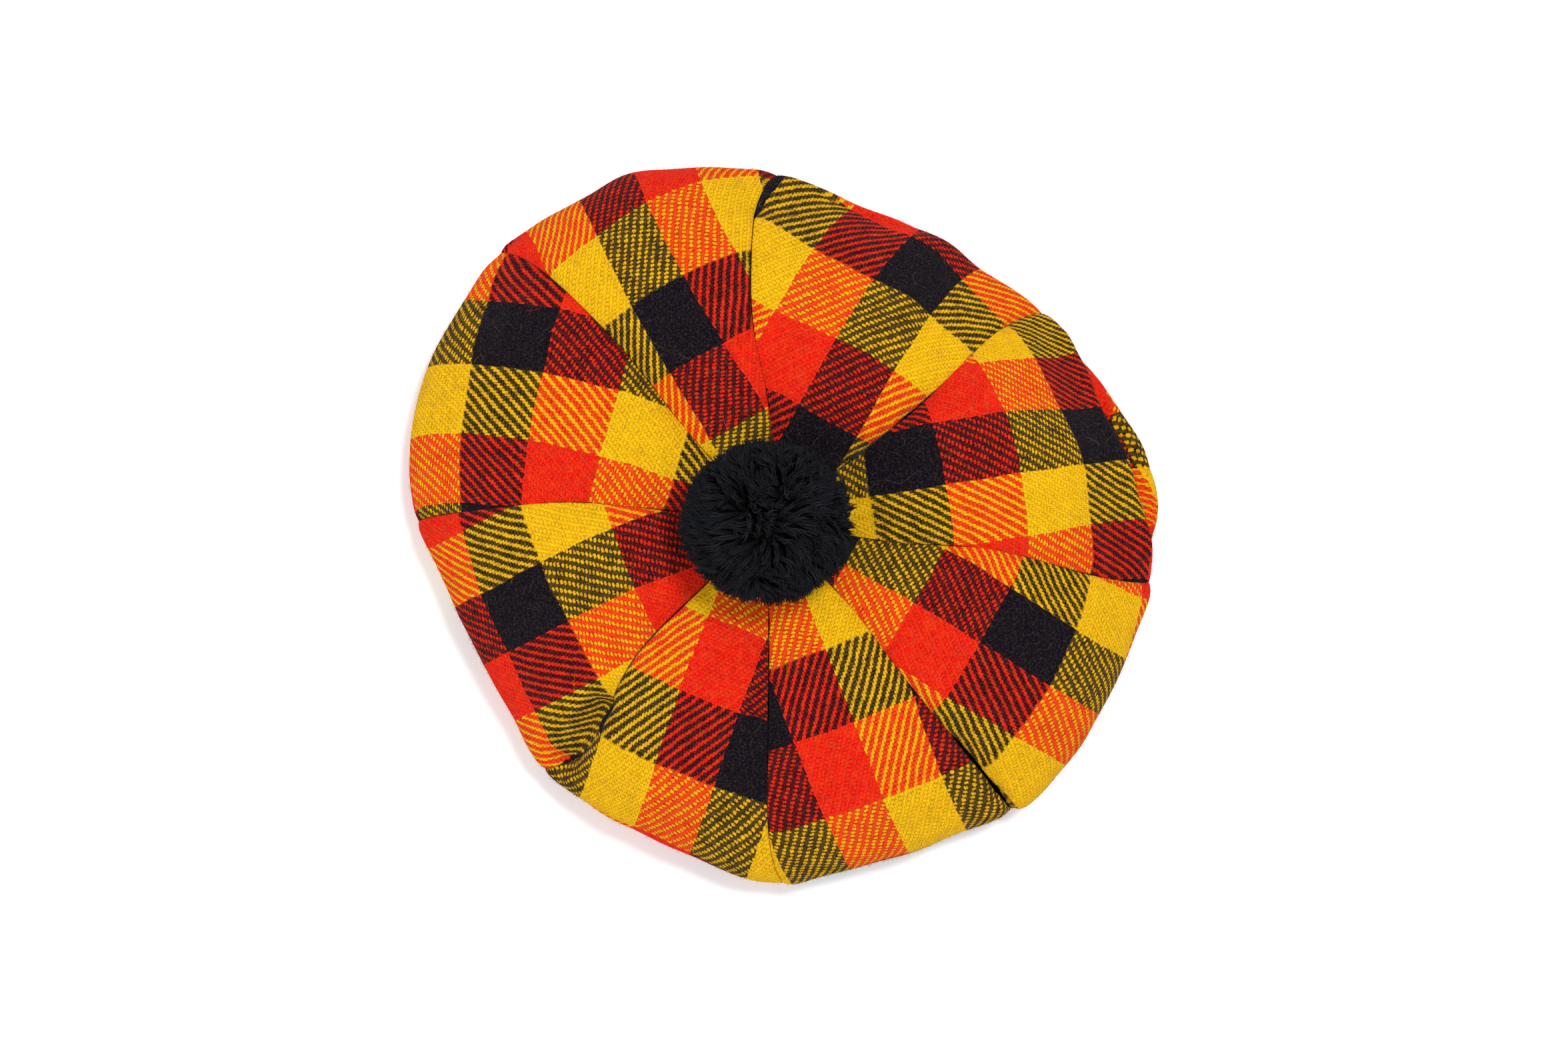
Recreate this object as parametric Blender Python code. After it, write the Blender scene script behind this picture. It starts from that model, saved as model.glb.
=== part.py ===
"""A tam o'shanter: eight gores of wool check, a headband and a pompom.

Metres, +Z up. The hat stands on its headband as it would on a table. The
origin is on the table, in the middle of the hat's outline and of its head
opening. +Y is the top of the hat's picture and +X its right. Tables are in
millimetres and degrees, with angles counter-clockwise from +X as seen from above.
"""

import math

import bmesh
import bpy
import numpy as np
from mathutils import Vector

MM = 0.001
GAP = 0.3                        # between pieces that meet
CLOTH = 2.0                      # thickness of the brushed wool

# Places
CROWN_X, CROWN_Y = -4.4, 0.9     # where the gores' tips meet, from the origin
HUB_RADIUS = 4.2                 # hole at the tips, for the pompom's tie

# Headband
BAND_RADIUS = 92.0               # outside; a head of about 57 cm
BAND_WALL = 2.2                  # two layers of the cloth, pressed
BAND_HEIGHT = 29.8
BAND_SIDES = 48

# Pompom
POMPOM_X, POMPOM_Y = -4.9, 0.9
POMPOM_CENTRE = 74.0             # above the table
CORE_RADIUS = 24.5
POMPOM_SQUASH = 0.92             # height over width
LOCKS_PER_SIDE = 4               # rows of locks on each side of the ball
LOWEST_LOCK = -0.50              # sine of the lowest lock's elevation
LOCK_SEED = 7
LOCK_VARY = 0.03                 # share by which locks differ in length
SWIRL = 0.16                     # how far a lock leans over its own length
# A lock from its foot to its tip: distance from the ball's centre, own width.
LOCK_STEPS = ((27.2, 0.97), (29.6, 0.80), (31.2, 0.45))
# The tie from the ball down to its knot: height from the centre, own radius.
TIE_STEPS = ((-23.2, 3.2), (-26.2, 3.2), (-27.0, 4.6), (-29.5, 5.2), (-32.0, 3.4))

# The cloth's section from the crown's centre over the rim to the headband. The
# radius is start + share of the way out to the rim; puff is how far the middle
# of a gore stands out from its seams, groove how deep the seam is drawn in, lean
# how far the section's centre has moved from the crown's to the band's, and brow
# how much of a gore's brow drop is felt there.
HUB, BAND = HUB_RADIUS, BAND_RADIUS + 0.4
PROFILE_COLUMNS = ("start", "share", "height", "puff", "groove", "lean", "brow")
PROFILE = (
    # start, share, height, puff, groove, lean, brow
    (HUB, 0.000, 50.0, 0.0, 0.0, 0.0, 0.0),
    (HUB, 0.085, 50.4, 1.0, 0.6, 0.0, 0.0),
    (HUB, 0.200, 51.8, 3.0, 1.5, 0.0, 0.0),
    (HUB, 0.320, 52.8, 4.8, 2.0, 0.0, 0.0),
    (HUB, 0.450, 52.2, 5.6, 2.0, 0.0, 0.0),
    (HUB, 0.580, 49.8, 6.0, 2.0, 0.0, 0.1),
    (HUB, 0.710, 46.0, 5.8, 2.0, 0.0, 0.3),
    (HUB, 0.830, 40.6, 5.0, 2.0, 0.0, 0.7),
    (HUB, 0.920, 34.2, 3.8, 2.0, 0.0, 1.0),
    (HUB, 0.976, 27.0, 2.0, 1.8, 0.0, 0.8),
    (HUB, 1.000, 19.0, 0.0, 1.6, 0.0, 0.3),
    (HUB, 0.974, 11.2, 0.4, 1.2, 0.1, 0.0),
    (BAND, 0.780, 5.6, 0.8, 1.0, 0.3, 0.0),
    (BAND, 0.500, 3.4, 0.6, 0.8, 0.6, 0.0),
    (BAND, 0.250, 8.0, 0.4, 0.6, 0.9, 0.0),
    (BAND, 0.090, 18.0, 0.2, 0.3, 1.0, 0.0),
    (BAND, 0.012, 27.2, 0.0, 0.0, 1.0, 0.0),
    (BAND, 0.002, 30.3, 0.0, 0.0, 1.0, 0.0),
    (BAND - BAND_WALL, 0.000, 30.6, 0.0, 0.0, 1.0, 0.0),
)
RIM_ROW = 10
BAND_ROW = len(PROFILE) - 1
# Rows between which the cloth also has a step half way.
FINE_ROWS = (3, 12)

# Seams, counter-clockwise: their direction from the crown's centre where they
# leave the pompom, half way out, near the rim, at the rim and on the headband.
SEAM_ROWS = (0.0, 2.4, 4.4, 6.7, RIM_ROW, BAND_ROW)
SEAMS = (
    # hub, pompom, half way, outer, rim, band
    (88.0, 89.5, 94.5, 93.5, 89.0, 90.0),
    (133.0, 132.5, 130.5, 131.5, 135.0, 135.0),
    (175.0, 173.5, 174.0, 177.5, 180.0, 180.0),
    (224.0, 224.0, 224.5, 230.5, 227.5, 226.0),
    (269.5, 269.5, 269.5, 269.5, 272.0, 270.5),
    (314.0, 314.0, 311.0, 310.5, 310.0, 313.0),
    (352.0, 350.5, 353.0, 351.0, 351.0, 358.0),
    (398.0, 397.5, 398.0, 400.0, 397.5, 402.0),
)

# Gores, each from its first seam counter-clockwise: the outline's radius from
# the crown's centre at that seam, then a quarter, half and three quarters of
# the way to the next, how far its brow drops, and how full it is.
GORE_COLUMNS = ("seam", "quarter", "half", "three_quarters", "brow", "fullness")
GORES = (
    # seam, quarter, half, three quarters, brow, fullness
    (126, 130, 135, 136, 0, 1.00),
    (138, 136, 135, 133, 3, 1.05),
    (128, 118, 115, 116, 1, 0.90),
    (122, 121, 122, 126, -1, 1.00),
    (131, 129, 130, 132, -2, 0.95),
    (136, 138, 137, 137, -1, 1.05),
    (139, 139, 134, 129, 9, 1.15),
    (124, 119, 119, 119, 5, 0.95),
)
GORE_COUNT = len(GORES)

# Folds and dents of the upper side, along a line seen from above, from the
# crown's centre: a positive rise is a ridge.
FOLDS = (
    # x0, y0, x1, y1, rise, half width
    (22.0, 36.0, 62.0, 98.0, 2.6, 11.0),        # ridge up the upper right gore
    (24.0, 118.0, 42.0, 110.0, -3.0, 9.0),      # dent in its rim
    (58.0, 30.0, 122.0, 22.0, 3.0, 13.0),       # ridge across the right gore
    (118.0, 52.0, 134.0, -6.0, 2.2, 8.0),       # edge where that gore turns down
    (60.0, -56.0, 88.0, -100.0, 2.4, 9.0),      # roll beside the lower right seam
    (-60.0, -66.0, -74.0, -86.0, -4.5, 5.0),    # deep pleat in the lower left seam
    (-30.0, 36.0, -56.0, 66.0, -2.0, 7.0),      # valley beside the upper left seam
    (-60.0, -14.0, -112.0, -28.0, 2.0, 13.0),   # swell of the left gore
)

# Samples across a gore, closer where the cloth dips into a seam.
ACROSS = (0.0, 0.05, 0.16, 0.33, 0.5, 0.67, 0.84, 0.95, 1.0)
SEAM_DIP = 3.2                   # half width of the dip at a seam
SLOPE_STEP = 1e-3                # step for reading the cloth's slope
PUFF_POWER = 0.75                # how square the puff is from seam to seam
FOLD_FACING = 1.5                # folds fade where the cloth turns to the side

WOOL = (0.53, 0.157, 0.017)      # the check's mean colour
YARN = (0.010, 0.013, 0.020)


def column(table, columns, name):
    """One named column of a table, as an array."""
    return np.array([row[columns.index(name)] for row in table], float)


def smooth(knots, values, where):
    """A cubic curve through values at knots, read at where. Values may have a
    second axis, with a column for each place in where."""
    knots, values, where = (np.asarray(a, float) for a in (knots, values, where))
    slopes = np.gradient(values, knots, axis=0)
    left = np.clip(np.searchsorted(knots, where, side="right") - 1, 0, len(knots) - 2)
    span = knots[left + 1] - knots[left]
    f = (where - knots[left]) / span

    def pick(table, index):
        return table[index] if table.ndim == 1 else table[index, np.arange(len(where))]

    return (
        (1 + 2 * f) * (1 - f) ** 2 * pick(values, left)
        + f * (1 - f) ** 2 * span * pick(slopes, left)
        + f**2 * (3 - 2 * f) * pick(values, left + 1)
        + f**2 * (f - 1) * span * pick(slopes, left + 1)
    )


def profile(name, row):
    return smooth(range(len(PROFILE)), column(PROFILE, PROFILE_COLUMNS, name), row)


def seam_angle(seam, row):
    """Direction of a seam in degrees; seams go on counting after a full turn."""
    turns, index = divmod(seam, GORE_COUNT)
    return smooth(SEAM_ROWS, SEAMS[index], row) + 360.0 * turns


def rim_radius(place):
    """Radius of the outline, place counting gores from the first seam."""
    steps = 4
    radii = [column(GORES, GORE_COLUMNS, name) for name in GORE_COLUMNS[:steps]]
    ring = np.stack(radii, axis=1).ravel()
    around = np.arange(-steps, len(ring) + steps + 1)
    return smooth(around / steps, ring[around % len(ring)], place)


def brow_drop(gore, across):
    """How far the brow over the rim hangs lower there than the section says."""
    drops = column(GORES, GORE_COLUMNS, "brow")
    before, after = drops[gore - 1], drops[(gore + 1) % GORE_COUNT]
    side = np.where(across < 0.5, before, after)
    at_seam = (drops[gore] + side) / 2
    return drops[gore] + (at_seam - drops[gore]) * (2 * across - 1) ** 2


def gore_width(gore, row, radius):
    """Width of a gore across from seam to seam."""
    return radius * np.radians(seam_angle(gore + 1, row) - seam_angle(gore, row))


def smooth_cloth(gore, across, row):
    """The cloth's outer face before it puffs and folds, with its radius."""
    angle = np.radians(
        (1 - across) * seam_angle(gore, row) + across * seam_angle(gore + 1, row)
    )
    start = column(PROFILE, PROFILE_COLUMNS, "start")[:, None]
    share = column(PROFILE, PROFILE_COLUMNS, "share")[:, None]
    radii = start + share * (rim_radius(gore + across) - start)
    radius = smooth(range(len(PROFILE)), radii, row)
    still = 1 - profile("lean", row)
    height = profile("height", row) - profile("brow", row) * brow_drop(gore, across)
    points = np.stack(
        [
            radius * np.cos(angle) + CROWN_X * still,
            radius * np.sin(angle) + CROWN_Y * still,
            height,
        ],
        axis=1,
    )
    return points, radius


def outward(surface, gore, across, row):
    """Unit normals of a surface function, away from the hat's inside."""
    step = SLOPE_STEP
    over = surface(gore, across + step, row) - surface(gore, across - step, row)
    along = surface(gore, across, row + step) - surface(gore, across, row - step)
    normal = np.cross(along, over)
    return normal / np.linalg.norm(normal, axis=1)[:, None]


def folds(points, facing_up):
    """Rise of the folds and dents at points of the upper side."""
    rise = np.zeros(len(points))
    place = points[:, :2] - (CROWN_X, CROWN_Y)
    for x0, y0, x1, y1, height, half_width in FOLDS:
        start, run = np.array((x0, y0)), np.array((x1 - x0, y1 - y0))
        share = np.clip((place - start) @ run / (run @ run), 0, 1)
        away = np.linalg.norm(place - start - share[:, None] * run, axis=1)
        rise += height * np.exp(-((away / half_width) ** 2))
    return rise * np.clip(facing_up * FOLD_FACING, 0, 1)


def cloth(gore, across, row):
    """The outer face of a gore: puffed between its seams, drawn in at them."""
    base, radius = smooth_cloth(gore, across, row)
    normal = outward(lambda *at: smooth_cloth(*at)[0], gore, across, row)
    width = gore_width(gore, row, radius)
    inside = np.clip(across, 0, 1)
    bulge = (4 * inside * (1 - inside)) ** PUFF_POWER
    to_seam = np.minimum(inside, 1 - inside) * width
    # A ridge dies away at a seam, and a valley runs on through it.
    fold = folds(base, normal[:, 2])
    fold *= np.where(fold > 0, np.clip(to_seam / SEAM_DIP, 0, 1), 1)
    full = column(GORES, GORE_COLUMNS, "fullness")[gore]
    lift = (
        profile("puff", row) * full * bulge
        - profile("groove", row) * np.exp(-((to_seam / SEAM_DIP) ** 2))
        + fold
    )
    return base + normal * lift[:, None]


def new_object(name, mesh, material, place, parent):
    item = bpy.data.objects.new(name, mesh)
    item.location = [value * MM for value in place]
    item.parent = parent
    mesh.materials.append(material)
    bpy.context.collection.objects.link(item)
    return item


def close_outward(mesh, sharp=None):
    """Points a closed mesh's faces out and shades it smooth."""
    shape = bmesh.new()
    shape.from_mesh(mesh)
    bmesh.ops.recalc_face_normals(shape, faces=shape.faces)
    shape.to_mesh(mesh)
    shape.free()
    mesh.shade_smooth()
    if sharp is not None:
        mesh.set_sharp_from_angle(angle=sharp)


def wool_material():
    material = bpy.data.materials.new("check_wool")
    material.use_nodes = True
    shader = material.node_tree.nodes["Principled BSDF"]
    shader.inputs["Base Color"].default_value = (*WOOL, 1)
    shader.inputs["Roughness"].default_value = 0.95
    shader.inputs["Metallic"].default_value = 0.0
    return material


def yarn_material():
    material = bpy.data.materials.new("pompom_yarn")
    material.use_nodes = True
    shader = material.node_tree.nodes["Principled BSDF"]
    shader.inputs["Base Color"].default_value = (*YARN, 1)
    shader.inputs["Roughness"].default_value = 0.9
    shader.inputs["Metallic"].default_value = 0.0
    return material


def gore_rows():
    """Places along a gore, with half steps between the fine rows."""
    rows = [float(row) for row in range(len(PROFILE))]
    rows += [row + 0.5 for row in range(*FINE_ROWS)]
    return sorted(rows)


def make_gore(gore, material, parent):
    """One gore, a wall of cloth from its tip over the rim to the headband."""
    rows = gore_rows()
    row = np.repeat(rows, len(ACROSS))
    across = np.tile(ACROSS, len(rows))
    radius = smooth_cloth(gore, across, row)[1]
    # The edges stop half the gap short of the seams.
    edge = GAP / 2 / gore_width(gore, row, radius)
    across = edge + across * (1 - 2 * edge)
    outer = cloth(gore, across, row)
    inner = outer - CLOTH * outward(cloth, gore, across, row)

    place = Vector((CROWN_X, CROWN_Y, 0))
    mesh = bpy.data.meshes.new(f"gore_{gore + 1}")
    count, wide = len(outer), len(ACROSS)
    faces = []
    for i in range(len(rows) - 1):
        for j in range(wide - 1):
            corner = i * wide + j
            quad = (corner, corner + 1, corner + wide + 1, corner + wide)
            faces.append(quad)
            faces.append(tuple(count + k for k in reversed(quad)))
    # The loop round the gore's edge, closed between the two faces of the cloth.
    top = list(range(wide))
    right = [i * wide + wide - 1 for i in range(1, len(rows))]
    bottom = [(len(rows) - 1) * wide + j for j in reversed(range(wide - 1))]
    left = [i * wide for i in reversed(range(1, len(rows) - 1))]
    loop = top + right + bottom + left
    for a, b in zip(loop, loop[1:] + loop[:1]):
        faces.append((b, a, count + a, count + b))
    points = [Vector(p) - place for p in np.concatenate([outer, inner])]
    mesh.from_pydata([p * MM for p in points], [], faces)
    close_outward(mesh, sharp=math.radians(60))
    return new_object(mesh.name, mesh, material, place, parent)


def make_headband(material, parent):
    """A plain ring with a flat lower edge, spun from its section."""
    outside, inside = BAND_RADIUS, BAND_RADIUS - BAND_WALL
    section = ((inside, 0), (outside, 0), (outside, BAND_HEIGHT), (inside, BAND_HEIGHT))
    shape = bmesh.new()
    corners = [shape.verts.new((x * MM, 0, z * MM)) for x, z in section]
    edges = [shape.edges.new((corners[i], corners[(i + 1) % 4])) for i in range(4)]
    bmesh.ops.spin(
        shape, geom=corners + edges, axis=(0, 0, 1), cent=(0, 0, 0),
        angle=2 * math.pi, steps=BAND_SIDES, use_merge=True,
    )
    bmesh.ops.remove_doubles(shape, verts=shape.verts, dist=0.01 * MM)
    mesh = bpy.data.meshes.new("headband")
    shape.to_mesh(mesh)
    shape.free()
    close_outward(mesh, sharp=math.radians(40))
    return new_object("headband", mesh, material, (0, 0, 0), parent)


def yarn_ball():
    """A round ball of near-square faces, each the foot of a lock."""
    ball = bmesh.new()
    bmesh.ops.create_cube(ball, size=2)
    bmesh.ops.subdivide_edges(
        ball, edges=ball.edges, cuts=LOCKS_PER_SIDE - 1, use_grid_fill=True
    )
    for vert in ball.verts:
        # Even angles between the rows of faces, all the way round.
        even = Vector([math.tan(value * math.pi / 4) for value in vert.co])
        vert.co = even.normalized() * CORE_RADIUS
    return ball


def grow_lock(shape, foot, lean, stretch):
    """Draws one face of the ball out into a lock that leans and thins."""
    face = foot
    out = foot.calc_center_median().normalized()
    size = 1.0
    for reach, share in LOCK_STEPS:
        new = bmesh.ops.extrude_discrete_faces(shape, faces=[face])["faces"][0]
        centre = new.calc_center_median()
        grown = (reach - CORE_RADIUS) / (LOCK_STEPS[-1][0] - CORE_RADIUS)
        way = (out + lean * SWIRL * grown * grown).normalized()
        for vert in new.verts:
            vert.co = way * reach * stretch + (vert.co - centre) * share / size
        face, size = new, share


def draw_tie(shape, feet):
    """Draws the ball's lowest faces down into the tie and its knot."""
    region = feet
    for depth, radius in TIE_STEPS:
        grown = bmesh.ops.extrude_face_region(shape, geom=region)["geom"]
        bmesh.ops.delete(shape, geom=region, context="FACES")
        region = [item for item in grown if isinstance(item, bmesh.types.BMFace)]
        for vert in {vert for face in region for vert in face.verts}:
            flat = Vector((vert.co.x, vert.co.y, 0))
            middle = flat.length < CORE_RADIUS * 1e-3
            vert.co = (Vector() if middle else flat.normalized() * radius)
            vert.co.z = depth


def make_pompom(material, parent):
    """A ball of locks, with its tie and knot below, all one body."""
    place = Vector((POMPOM_X, POMPOM_Y, POMPOM_CENTRE))
    shape = yarn_ball()
    feet = sorted(shape.faces, key=lambda face: face.calc_center_median().z)
    chance = np.random.RandomState(LOCK_SEED)
    for foot in feet:
        out = foot.calc_center_median().normalized()
        if out.z < LOWEST_LOCK:
            continue
        side = out.orthogonal().normalized()
        turn = chance.uniform(0, 2 * math.pi)
        lean = side * math.cos(turn) + out.cross(side) * math.sin(turn)
        grow_lock(shape, foot, lean, 1 + chance.uniform(-LOCK_VARY, LOCK_VARY))
    bmesh.ops.scale(shape, vec=(1, 1, POMPOM_SQUASH), verts=shape.verts)
    draw_tie(shape, feet[:4])
    bmesh.ops.scale(shape, vec=(MM, MM, MM), verts=shape.verts)
    mesh = bpy.data.meshes.new("pompom")
    shape.to_mesh(mesh)
    shape.free()
    close_outward(mesh)
    return new_object("pompom", mesh, material, place, parent)


def main():
    for item in list(bpy.data.objects):
        bpy.data.objects.remove(item, do_unlink=True)
    hat = bpy.data.objects.new("tam_o_shanter", None)
    bpy.context.collection.objects.link(hat)
    wool, yarn = wool_material(), yarn_material()
    for gore in range(GORE_COUNT):
        make_gore(gore, wool, hat)
    make_headband(wool, hat)
    make_pompom(yarn, hat)


main()
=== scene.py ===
"""The looks of a tam o'shanter: its check wool, seams, headband and pompom.

Metres, +Z up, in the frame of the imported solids. The photograph looks straight
down, with +Y at its top and +X at its right. Tables are in millimetres and
degrees, with angles counter-clockwise from +X as seen from above.
"""

import math

import bmesh
import bpy
import numpy as np
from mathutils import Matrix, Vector, noise


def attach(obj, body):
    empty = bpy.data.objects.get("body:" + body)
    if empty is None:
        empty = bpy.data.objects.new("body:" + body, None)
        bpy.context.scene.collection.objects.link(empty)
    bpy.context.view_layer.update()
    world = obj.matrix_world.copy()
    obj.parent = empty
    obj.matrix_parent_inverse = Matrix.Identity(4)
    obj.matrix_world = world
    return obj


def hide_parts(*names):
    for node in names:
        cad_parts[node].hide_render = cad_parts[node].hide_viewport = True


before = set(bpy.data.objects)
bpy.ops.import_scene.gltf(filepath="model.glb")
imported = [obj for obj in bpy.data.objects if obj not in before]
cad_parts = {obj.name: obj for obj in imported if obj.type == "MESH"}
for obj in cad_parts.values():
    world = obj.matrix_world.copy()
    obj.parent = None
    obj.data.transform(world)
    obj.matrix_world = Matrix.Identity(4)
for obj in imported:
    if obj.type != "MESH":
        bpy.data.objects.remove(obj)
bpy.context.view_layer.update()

MM = 0.001
CLOTH = 2.0  # thickness of the brushed wool


def table(names, *rows):
    """A table's columns by name, as arrays."""
    return dict(zip(names.split(), np.array(rows, float).T))


# ---- the hat's form
# The construction's own values, as the solids were made from, but for the deep
# pleat, which is 3 mm deeper, and the last five constants: the cloth lies flatter
# than the solids by up to 3 mm.

CROWN_X, CROWN_Y = -4.4, 0.9  # where the gores' tips meet, from the origin
HUB_RADIUS = 4.2  # hole at the tips, for the pompom's tie
BAND_RADIUS = 92.0
BAND_WALL = 2.2
BAND_HEIGHT = 29.8

# The cloth's section from the crown's centre over the rim to the headband.
HUB, BAND = HUB_RADIUS, BAND_RADIUS + 0.4
PROFILE = table(
    "start share height puff groove lean brow",
    (HUB, 0.000, 50.0, 0.0, 0.0, 0.0, 0.0),
    (HUB, 0.085, 50.4, 1.0, 0.6, 0.0, 0.0),
    (HUB, 0.200, 51.8, 3.0, 1.5, 0.0, 0.0),
    (HUB, 0.320, 52.8, 4.8, 2.0, 0.0, 0.0),
    (HUB, 0.450, 52.2, 5.6, 2.0, 0.0, 0.0),
    (HUB, 0.580, 49.8, 6.0, 2.0, 0.0, 0.1),
    (HUB, 0.710, 46.0, 5.8, 2.0, 0.0, 0.3),
    (HUB, 0.830, 40.6, 5.0, 2.0, 0.0, 0.7),
    (HUB, 0.920, 34.2, 3.8, 2.0, 0.0, 1.0),
    (HUB, 0.976, 27.0, 2.0, 1.8, 0.0, 0.8),
    (HUB, 1.000, 19.0, 0.0, 1.6, 0.0, 0.3),
    (HUB, 0.974, 11.2, 0.4, 1.2, 0.1, 0.0),
    (BAND, 0.780, 5.6, 0.8, 1.0, 0.3, 0.0),
    (BAND, 0.500, 3.4, 0.6, 0.8, 0.6, 0.0),
    (BAND, 0.250, 8.0, 0.4, 0.6, 0.9, 0.0),
    (BAND, 0.090, 18.0, 0.2, 0.3, 1.0, 0.0),
    (BAND, 0.012, 27.2, 0.0, 0.0, 1.0, 0.0),
    (BAND, 0.002, 30.3, 0.0, 0.0, 1.0, 0.0),
    (BAND - BAND_WALL, 0.000, 30.6, 0.0, 0.0, 1.0, 0.0),
)
RIM_ROW = 10
BAND_ROW = len(PROFILE["share"]) - 1

# Seams: their direction from the crown's centre at the hub, where they leave the
# pompom, half way out, near the rim, at the rim and on the headband.
SEAM_ROWS = (0.0, 2.4, 4.4, 6.7, RIM_ROW, BAND_ROW)
SEAMS = (
    (88.0, 89.5, 94.5, 93.5, 89.0, 90.0),
    (133.0, 132.5, 130.5, 131.5, 135.0, 135.0),
    (175.0, 173.5, 174.0, 177.5, 180.0, 180.0),
    (224.0, 224.0, 224.5, 230.5, 227.5, 226.0),
    (269.5, 269.5, 269.5, 269.5, 272.0, 270.5),
    (314.0, 314.0, 311.0, 310.5, 310.0, 313.0),
    (352.0, 350.5, 353.0, 351.0, 351.0, 358.0),
    (398.0, 397.5, 398.0, 400.0, 397.5, 402.0),
)

# Gores: the outline's radius at the first seam, a quarter, half and three
# quarters of the way to the next, how far its brow drops, and how full it is.
OUTLINE = "seam quarter half three_quarters"
GORES = table(
    OUTLINE + " brow fullness",
    (126, 130, 135, 136, 0, 1.00),
    (138, 136, 135, 133, 3, 1.05),
    (128, 118, 115, 116, 1, 0.90),
    (122, 121, 122, 126, -1, 1.00),
    (131, 129, 130, 132, -2, 0.95),
    (136, 138, 137, 137, -1, 1.05),
    (139, 139, 134, 129, 9, 1.15),
    (124, 119, 119, 119, 5, 0.95),
)
GORE_COUNT = len(SEAMS)

# Folds and dents of the upper side, along a line from the crown's centre.
FOLDS = (
    # x0, y0, x1, y1, rise, half width
    (22.0, 36.0, 62.0, 98.0, 2.6, 11.0),  # ridge up the upper right gore
    (24.0, 118.0, 42.0, 110.0, -3.0, 9.0),  # dent in its rim
    (58.0, 30.0, 122.0, 22.0, 3.0, 13.0),  # ridge across the right gore
    (118.0, 52.0, 134.0, -6.0, 2.2, 8.0),  # edge where that gore turns down
    (60.0, -56.0, 88.0, -100.0, 2.4, 9.0),  # roll beside the lower right seam
    (-61.0, -66.0, -75.0, -87.0, -7.5, 4.5),  # deep pleat in the lower left seam
    (-30.0, 36.0, -56.0, 66.0, -2.0, 7.0),  # valley beside the upper left seam
    (-60.0, -14.0, -112.0, -28.0, 2.0, 13.0),  # swell of the left gore
)
SEAM_DIP = 3.2  # how near a seam a ridge dies away
SLOPE_STEP = 1e-3  # step for reading the cloth's slope
FOLD_FACING = 1.5  # folds fade where the cloth turns to the side
PUFF_POWER = 1.15  # how square the puff is from seam to seam
PUFF_SHARE = 0.7  # of the solids' puff
GROOVE_SHARE = 0.4  # of the solids' seam grooves
GROOVE_WIDTH = 2.2  # half width of the dip at a seam
BROW_MORE = 3.0  # how much lower the brow hangs all round


def smooth(knots, values, where):
    """A cubic curve through values at knots, read at where. Values may have a
    second axis, with a column for each place in where."""
    knots, values, where = (np.asarray(a, float) for a in (knots, values, where))
    slopes = np.gradient(values, knots, axis=0)
    left = np.clip(np.searchsorted(knots, where, side="right") - 1, 0, len(knots) - 2)
    span = knots[left + 1] - knots[left]
    f = (where - knots[left]) / span

    def pick(column, index):
        return column[index] if column.ndim == 1 else column[index, np.arange(len(where))]

    return (
        (1 + 2 * f) * (1 - f) ** 2 * pick(values, left)
        + f * (1 - f) ** 2 * span * pick(slopes, left)
        + f**2 * (3 - 2 * f) * pick(values, left + 1)
        + f**2 * (f - 1) * span * pick(slopes, left + 1)
    )


def profile(name, row):
    return smooth(range(BAND_ROW + 1), PROFILE[name], row)


def seam_angle(seam, row):
    """Direction of a seam in degrees; seams go on counting after a full turn."""
    turns, index = divmod(seam, GORE_COUNT)
    return smooth(SEAM_ROWS, SEAMS[index], row) + 360.0 * turns


def rim_radius(place):
    """Radius of the outline, place counting gores from the first seam."""
    radii = [GORES[name] for name in OUTLINE.split()]
    ring, steps = np.stack(radii, axis=1).ravel(), len(radii)
    around = np.arange(-steps, len(ring) + steps + 1)
    return smooth(around / steps, ring[around % len(ring)], place)


def brow_drop(gore, across):
    """How far the brow over the rim hangs lower there than the section says."""
    drops = GORES["brow"]
    before, after = drops[gore - 1], drops[(gore + 1) % GORE_COUNT]
    side = np.where(across < 0.5, before, after)
    at_seam = (drops[gore] + side) / 2
    return BROW_MORE + drops[gore] + (at_seam - drops[gore]) * (2 * across - 1) ** 2


def gore_width(gore, row, radius):
    """Width of a gore across from seam to seam."""
    return radius * np.radians(seam_angle(gore + 1, row) - seam_angle(gore, row))


def smooth_cloth(gore, across, row):
    """The cloth's outer face before it puffs and folds, with its radius."""
    angle = np.radians((1 - across) * seam_angle(gore, row) + across * seam_angle(gore + 1, row))
    start, share = PROFILE["start"][:, None], PROFILE["share"][:, None]
    radii = start + share * (rim_radius(gore + across) - start)
    radius = smooth(range(BAND_ROW + 1), radii, row)
    still = 1 - profile("lean", row)
    height = profile("height", row) - profile("brow", row) * brow_drop(gore, across)
    x, y = radius * np.cos(angle) + CROWN_X * still, radius * np.sin(angle) + CROWN_Y * still
    return np.stack([x, y, height], axis=1), radius


def outward(surface, gore, across, row):
    """Unit normals of a surface function, away from the hat's inside."""
    step = SLOPE_STEP
    over = surface(gore, across + step, row) - surface(gore, across - step, row)
    along = surface(gore, across, row + step) - surface(gore, across, row - step)
    normal = np.cross(along, over)
    return normal / np.linalg.norm(normal, axis=1)[:, None]


def folds(points, facing_up):
    """Rise of the folds and dents at points of the upper side."""
    rise = np.zeros(len(points))
    place = points[:, :2] - (CROWN_X, CROWN_Y)
    for x0, y0, x1, y1, height, half_width in FOLDS:
        start, run = np.array((x0, y0)), np.array((x1 - x0, y1 - y0))
        share = np.clip((place - start) @ run / (run @ run), 0, 1)
        away = np.linalg.norm(place - start - share[:, None] * run, axis=1)
        rise += height * np.exp(-((away / half_width) ** 2))
    return rise * np.clip(facing_up * FOLD_FACING, 0, 1)


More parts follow.
